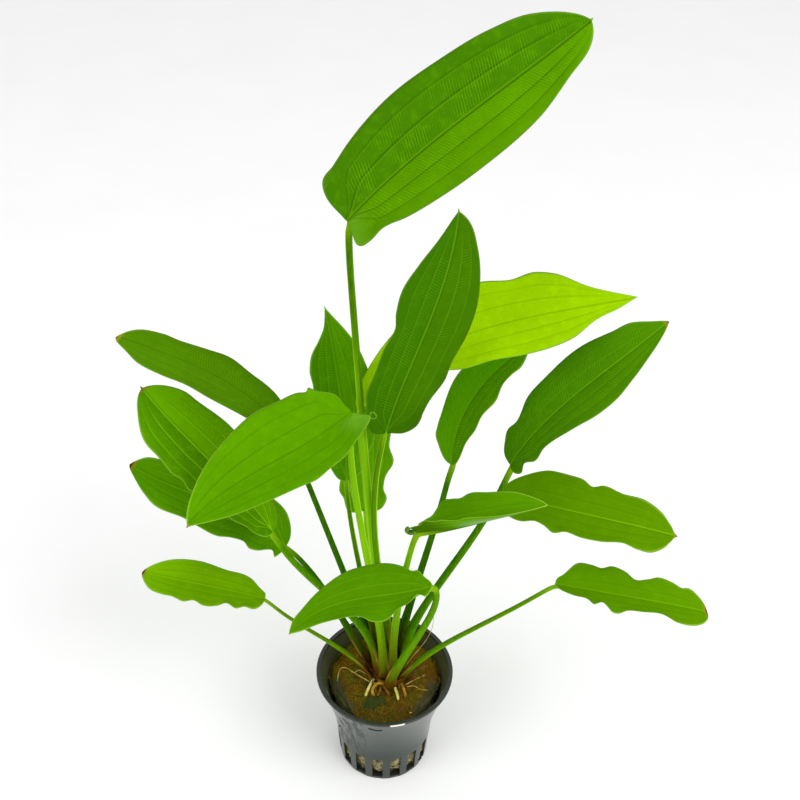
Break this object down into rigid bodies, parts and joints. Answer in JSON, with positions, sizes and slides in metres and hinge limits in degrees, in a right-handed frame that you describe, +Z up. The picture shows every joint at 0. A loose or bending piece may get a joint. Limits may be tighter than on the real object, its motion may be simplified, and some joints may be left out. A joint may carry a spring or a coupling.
{
  "type": "potted echinodorus aquarium plant",
  "caption": "Young sword plant with long-stalked oval leaves, growing from a mineral wool plug in a small slotted nursery pot.",
  "frame": {"origin": "middle of the pot's flat foot, on the surface that it stands on", "axes": "+Z up, +X to the right and +Y to the back as the plant is seen from in front"},
  "size_m": [0.2163, 0.0939, 0.3032],
  "materials": {
    "pot_plastic": "satin",
    "mineral_wool": "matte",
    "rootstock": "matte",
    "root_new": "satin",
    "root_old": "satin",
    "stalk": "satin",
    "leaf_dark": "satin",
    "leaf_mid": "satin",
    "leaf_light": "satin",
    "leaf_yellow": "satin"
  },
  "bodies": {
    "root": {"pot": "pot_plastic", "plug": "mineral_wool", "crown": "rootstock", "root_white_left": "root_new", "root_white_right": "root_new", "root_loop": "root_old", "root_brown_right": "root_old", "stalk_top": "stalk", "leaf_top": "leaf_mid", "stalk_upright": "stalk", "leaf_upright": "leaf_dark", "stalk_yellow": "stalk", "leaf_yellow": "leaf_yellow", "stalk_back_left": "stalk", "leaf_back_left": "leaf_dark", "stalk_back": "stalk", "leaf_back": "leaf_mid", "stalk_front_left": "stalk", "leaf_front_left": "leaf_light", "stalk_folded": "stalk", "leaf_folded": "leaf_mid", "stalk_far_left": "stalk", "leaf_far_left": "leaf_dark", "stalk_left_upper": "stalk", "leaf_left_upper": "leaf_mid", "stalk_left_lower": "stalk", "leaf_left_lower": "leaf_dark", "stalk_left_small": "stalk", "leaf_left_small": "leaf_light", "stalk_front": "stalk", "leaf_front": "leaf_mid", "stalk_right_upper": "stalk", "leaf_right_upper": "leaf_dark", "stalk_right_back": "stalk", "leaf_right_back": "leaf_dark", "stalk_right_middle": "stalk", "leaf_right_middle": "leaf_mid", "stalk_right_low": "stalk", "leaf_right_low": "leaf_mid"}
  },
  "joints": []
}
